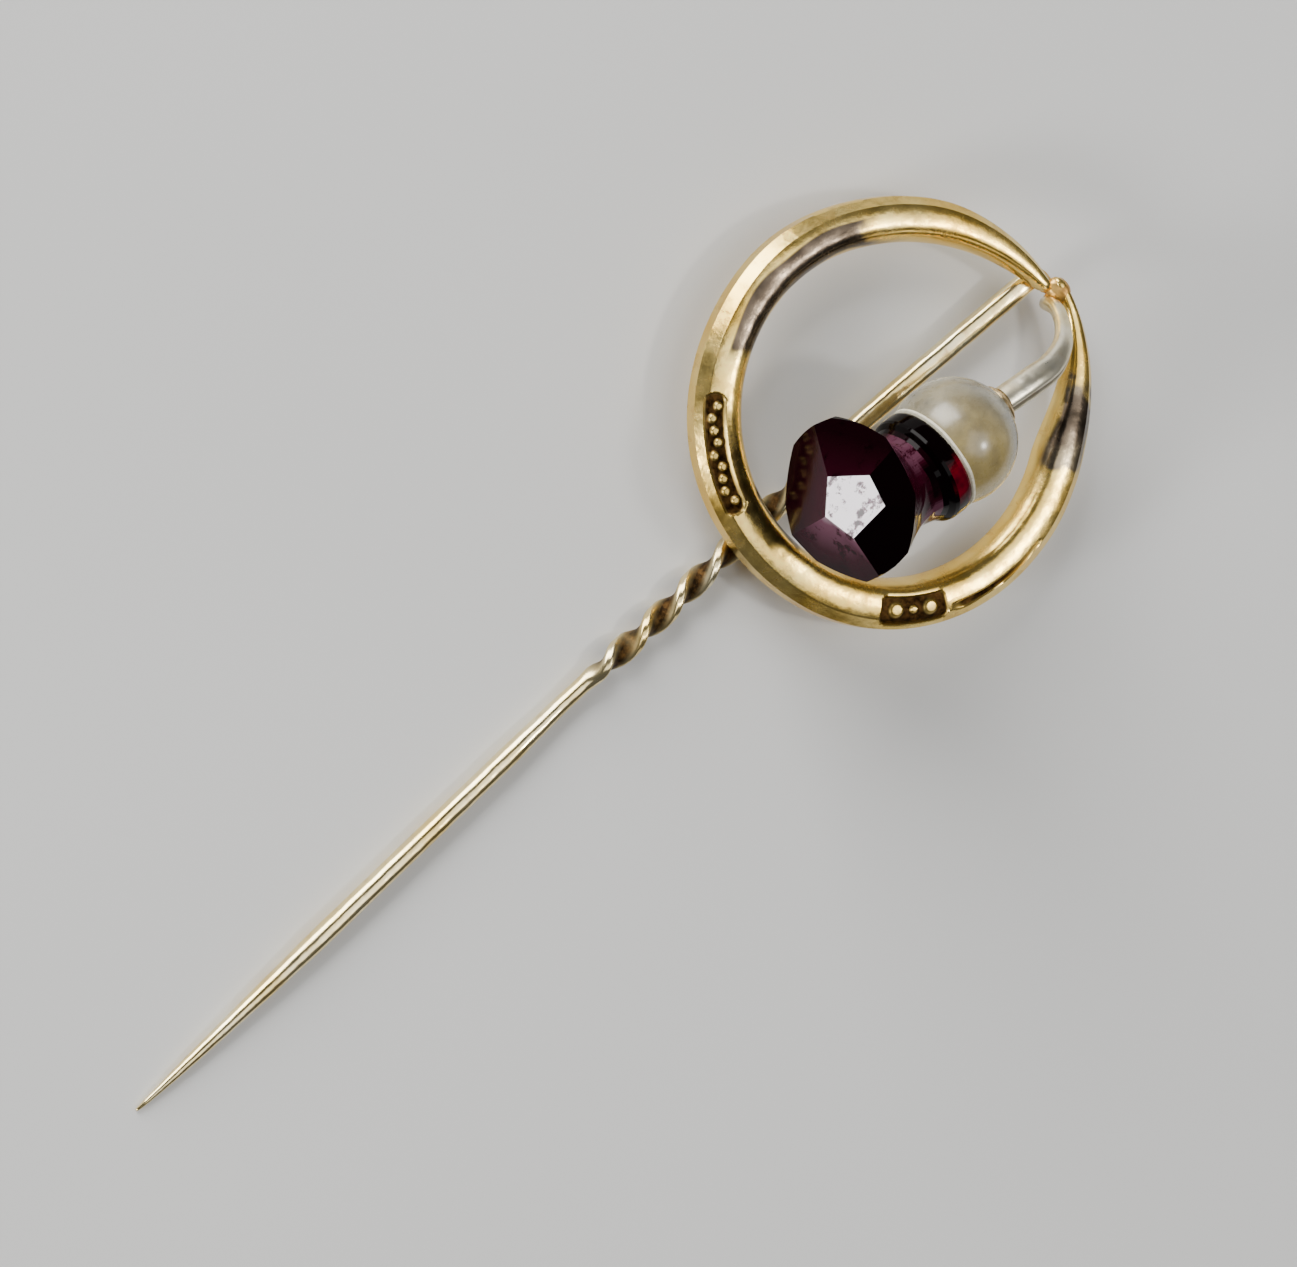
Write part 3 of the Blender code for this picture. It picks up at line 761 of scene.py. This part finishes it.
def build_pearl(steps=70):
    """Ball with a small flat at the cap and a wide one where it is bedded on the stone."""
    ball = PEARL_DIA / 2
    stop = math.acos((ball - PEARL_HEIGHT) / ball)
    arc = [(ball * math.sin(a), ball - ball * math.cos(a))
           for a in (blend(0.12, stop, i / steps) for i in range(steps + 1))]
    profile = [(0.25, arc[0][1] + 0.02)] + arc + [(arc[-1][0] - 0.06, PEARL_HEIGHT + 0.03),
                                                  (0.4, PEARL_HEIGHT + 0.03)]
    verts, faces = skin(turned(profile, pearl_frame(), 112, 0.006, 5.0))
    piece = make_piece("pearl_visible", verts, faces, pearl_skin, ["pearl"], 40.0)
    # Painted glow share: on one side, growing towards the stone.
    painted_glow = []
    for vert in verts:
        local = pearl_frame().inverted() @ Vector(vert)
        facing = 0.5 + 0.5 * math.cos(math.atan2(local.y, local.x) - math.radians(PEARL_GLOW_SIDE))
        painted_glow.append(facing * smoothstep((local.z - PEARL_GLOW_FROM) / PEARL_GLOW_OVER))
    layer = piece.data.attributes.new("painted_glow", "FLOAT", "POINT")
    layer.data.foreach_set("value", painted_glow)


def build_cap(steps=16, count=72):
    """Thin bowl over the top of the pearl, open in the middle where the hook's wire ends."""
    ball = PEARL_DIA / 2
    radii = [blend(CAP_HOLE / 2, CAP_DIA / 2, i / steps) for i in range(steps + 1)]
    depth = [ball - math.sqrt(ball * ball - r * r) for r in radii]
    inner = [(r, d - 0.02) for r, d in zip(radii, depth)]
    lip = (CAP_DIA / 2 + 0.05, inner[-1][1] - 0.08)
    outer = [(r, d - 0.17 - 0.08 * math.sin(math.pi * i / steps))
             for i, (r, d) in enumerate(zip(radii, depth))]
    verts, faces = skin(turned(inner + [lip] + outer[::-1], pearl_frame(), count, 0.02, 9.0), False)
    last = len(verts) - count
    faces += [(last + i, last + (i + 1) % count, (i + 1) % count, i) for i in range(count)]
    make_piece("cap_visible", verts, faces, cap_gold, ["pearl_cap"], 50.0)


def build_rim():
    """Thin rounded ring of bedding that shows between the pearl and the stone's collar."""
    top = PEARL_HEIGHT - 0.06
    profile = [(1.0, top + 0.08), (2.3, top + 0.02), (2.41, top + 0.0), (2.47, top + 0.06),
               (2.46, top + 0.14), (2.38, top + 0.2), (1.95, top + 0.26), (1.0, top + 0.28)]
    verts, faces = skin(turned(profile, pearl_frame(), 160, 0.018, 12.0))
    make_piece("rim_visible", verts, faces, cement, ["bedding_rim"], 40.0)


def stone_place(distance):
    """Frame on the stone's bent axis; it leans from the pearl's line to the flower's."""
    lean = smoothstep(distance / GIRDLE_AT)
    direction = PEARL_AXIS.lerp(FLOWER_AXIS, lean).normalized()
    travel = PEARL_AXIS.lerp(FLOWER_AXIS, 0.7 * min(distance / GIRDLE_AT, 1.0)).normalized()
    base = PEARL_TOP + PEARL_AXIS * STONE_AT
    return frame_at(base + travel * distance, direction, Vector((0.0, 0.0, 1.0)))


def crown_frame():
    """Frame on the middle of the table, with Z out of it and X towards the front."""
    shift = Matrix.Translation((TABLE_SHIFT, 0.0, TABLE_HEIGHT))
    tilt = Matrix.Rotation(math.radians(TABLE_TILT), 4, "Y")
    return stone_place(GIRDLE_AT) @ shift @ tilt


def slice_off(bm, point, normal):
    """Cut away what lies in front of a plane, and close the cut with one flat face."""
    geometry = bm.verts[:] + bm.edges[:] + bm.faces[:]
    result = bmesh.ops.bisect_plane(bm, geom=geometry, dist=0.0001, plane_co=point,
                                    plane_no=normal, clear_outer=True)
    edges = [item for item in result["geom_cut"] if isinstance(item, bmesh.types.BMEdge)]
    return bmesh.ops.edgenet_fill(bm, edges=edges)["faces"]


def stone_body():
    """Places, diameters and shares of faceting up the carved body, collar first."""
    collar = ((0.0, 0.9, 0.0), (-0.08, 0.34, 0.0), (-0.05, 0.16, 0.0), (0.05, 0.05, 0.0), (0.2, 0.0, 0.0),
              (0.68, 0.03, 0.0), (0.84, 0.13, 0.0), (0.95, 0.3, 0.02), (1.05, 0.52, 0.06))
    rows = [(stone_place(at), COLLAR_DIA - less, faceting) for at, less, faceting in collar]
    rows.append((stone_place(COLLAR_FOOT), WAIST_DIA + 0.08, 0.3))
    rows.append((stone_place(WAIST_AT), WAIST_DIA, 0.5))
    flare = 16
    for i in range(1, flare + 1):
        t = i / flare
        dia = blend(WAIST_DIA, GIRDLE_DIA, t * t * (1.7 - 0.7 * t))
        rows.append((stone_place(blend(WAIST_AT, GIRDLE_AT, t)), dia, blend(0.6, 0.5, t)))
    blank = stone_place(GIRDLE_AT) @ Matrix.Translation((0.0, 0.0, CROWN_BLANK))
    return rows + [(blank, GIRDLE_DIA - 0.1, 0.5)]


def build_stone(per_side=14):
    """Carved body with soft flutes, then the flat table and crown facets cut across it."""
    sector = math.tau / STONE_FACETS
    rings = []
    for place, dia, faceting in stone_body():
        ring = []
        for k in range(per_side * STONE_FACETS):
            angle = sector * k / per_side
            flat = math.cos(sector / 2) / math.cos(angle % sector - sector / 2)
            radius = dia / 2 * blend(1.0, flat, faceting)
            ring.append(place @ Vector((radius * math.cos(angle), radius * math.sin(angle), 0.0)))
        rings.append(ring)
    verts, faces = skin(rings)
    bm = bmesh.new()
    corners = [bm.verts.new(v) for v in verts]
    for face in faces:
        bm.faces.new([corners[i] for i in face])
    crown = crown_frame()
    # Each cut carries its painted reflection level.
    cuts = [(crown.translation, crown.col[2].xyz, TABLE_PAINTED_GLINT)]
    for (azimuth, distance, slope), reflection_level in zip(CROWN_FACETS, CROWN_PAINTED_REFLECTIONS):
        turn = Matrix.Rotation(math.radians(azimuth), 4, "Z")
        lean = Matrix.Rotation(math.radians(slope), 4, "Y")
        facet = crown @ turn @ Matrix.Translation((distance, 0.0, 0.0)) @ lean
        cuts.append((facet.translation, facet.col[2].xyz, reflection_level))
    for point, normal, reflection_level in cuts:
        slice_off(bm, point, normal)
    bm.verts.index_update()
    verts = [tuple(v.co) for v in bm.verts]
    faces = [[v.index for v in face.verts] for face in bm.faces]
    bm.free()
    piece = make_piece("stone_visible", verts, faces, amethyst, ["thistle_stone"], 14.0)
    paint_stone_light(piece, cuts)


def paint_stone_light(piece, cuts):
    """Paint light into the stone: each facet gets its own painted reflection level, and the collar a
    painted red glow.

    A crown facet has its full painted reflection along the table's edge and painted shade towards the
    girdle.
    """
    mesh = piece.data
    table = cuts[0]
    reflection_levels = mesh.attributes.new("reflection_level", "FLOAT", "CORNER")
    glows = mesh.attributes.new("glow", "FLOAT", "FACE")
    base = PEARL_TOP + PEARL_AXIS * STONE_AT
    frame_here = stone_place(0.0)
    for polygon in mesh.polygons:
        centre = (polygon.center - HEAD) / MM
        reflection_level = None
        for point, normal, value in cuts:
            if abs((centre - point).dot(normal)) < 0.01 and polygon.normal.dot(normal) > 0.999:
                reflection_level = value
        local = frame_here.inverted() @ centre
        around = math.degrees(math.atan2(local.y, local.x))
        along = (centre - base).dot(PEARL_AXIS)
        glow = 0.0
        along_body = reflection_level is None
        if along_body:
            reflection_level = 0.0
            for middle, spread, low, high, value in BODY_PAINTED_REFLECTIONS:
                off = abs((around - middle + 180.0) % 360.0 - 180.0) / spread
                level = smoothstep((along - low) / 0.3) * smoothstep((high - along) / 0.5)
                reflection_level += value * smoothstep(2.0 * (1.0 - off)) * level
            off = abs((around - GLOW_ANGLE + 180.0) % 360.0 - 180.0) / GLOW_SPREAD
            glow = smoothstep(1.8 * (1.0 - off)) * smoothstep((0.9 - 0.5 * off - along) / 0.35)
        for corner in polygon.loop_indices:
            place = mesh.vertices[mesh.loops[corner].vertex_index].co
            at_table = abs(((place - HEAD) / MM - table[0]).dot(table[1])) < 0.02
            reflection_levels.data[corner].value = reflection_level if at_table or along_body else reflection_level * GIRDLE_SHADE
        glows.data[polygon.index].value = glow


# Stage, light and camera


def build_floor():
    """Plain, flat, pale floor just under the pin, six metres across."""
    mesh = bpy.data.meshes.new("floor")
    reach = 3.0
    z = cad_bounds[0][2] - FLOOR_GAP * MM
    mesh.from_pydata([(-reach, -reach, z), (reach, -reach, z), (reach, reach, z), (-reach, reach, z)],
                     [], [(0, 1, 2, 3)])
    material = Nodes("pale_floor")
    material.link(material.ramp(material.noise(0.02, 2.0), ((0.3, (0.70, 0.70, 0.69)),
                                                            (0.7, (0.74, 0.74, 0.73)))), "Base Color")
    material.set(Roughness=0.75)
    mesh.materials.append(material.material)
    floor = bpy.data.objects.new("floor", mesh)
    bpy.context.collection.objects.link(floor)


def view_axes():
    """Right, up and back directions of the photograph's view of the pin."""
    right = CAMERA_RIGHT.normalized()
    back = (CAMERA_BACK - right * CAMERA_BACK.dot(right)).normalized()
    return right, back.cross(right), back


def build_camera():
    right, up, back = view_axes()
    target = HEAD + CAMERA_TARGET * MM
    camera_data = bpy.data.cameras.new("camera")
    camera_data.sensor_width = 36.0
    camera_data.lens = CAMERA_LENS
    camera_data.clip_start = 0.01
    camera = bpy.data.objects.new("camera", camera_data)
    turn = Matrix((right, up, back)).transposed().to_4x4()
    camera.matrix_world = Matrix.Translation(target + back * CAMERA_DISTANCE) @ turn
    bpy.context.collection.objects.link(camera)
    bpy.context.scene.camera = camera


def add_softbox(name, direction, distance, size, radiance, colour=(1.0, 1.0, 1.0)):
    """Area light in a direction from the head, facing it, hidden from the camera itself."""
    light_data = bpy.data.lights.new(name, "AREA")
    light_data.shape = "RECTANGLE"
    light_data.size = size[0]
    light_data.size_y = size[1]
    light_data.energy = radiance * math.pi * size[0] * size[1]
    light_data.color = colour
    light = bpy.data.objects.new(name, light_data)
    toward = Vector(direction).normalized()
    light.location = HEAD + toward * distance
    light.rotation_euler = toward.to_track_quat("Z", "Y").to_euler()
    light.visible_camera = False
    bpy.context.collection.objects.link(light)


def build_light():
    """A window at the left, a soft panel overhead with a bright patch, and a low front card."""
    add_softbox("window_softbox", (-0.88, 0.14, 0.40), 0.50, (0.30, 0.36), 11.0, (1.0, 0.99, 0.97))
    add_softbox("ceiling_panel", (0.24, 0.20, 0.95), 0.50, (0.36, 0.36), 1.9)
    add_softbox("ceiling_core", (0.42, 0.33, 0.85), 0.50, (0.05, 0.05), 70.0, (1.0, 0.97, 0.92))
    add_softbox("front_card", (-0.37, -0.89, 0.27), 0.40, (0.09, 0.06), 60.0)
    world = bpy.data.worlds.new("studio")
    world.use_nodes = True
    world.node_tree.nodes["Background"].inputs["Color"].default_value = (0.86, 0.88, 0.92, 1.0)
    world.node_tree.nodes["Background"].inputs["Strength"].default_value = 0.12
    bpy.context.scene.world = world


build_camera()
build_light()
build_floor()
build_hoop()
build_stem()
build_hook()
build_solder("joint_solder_visible", "joint_solder", JOINT_LUMPS, 2.0)
build_solder("back_solder_visible", "back_solder", BACK_LUMPS, 7.0)
build_pearl()
build_cap()
build_rim()
build_stone()
for node, material in (("peg", wire_gold), ("pearl_cement", cement), ("stone_cement", cement)):
    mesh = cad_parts[node].data
    mesh.materials.clear()
    mesh.materials.append(material)
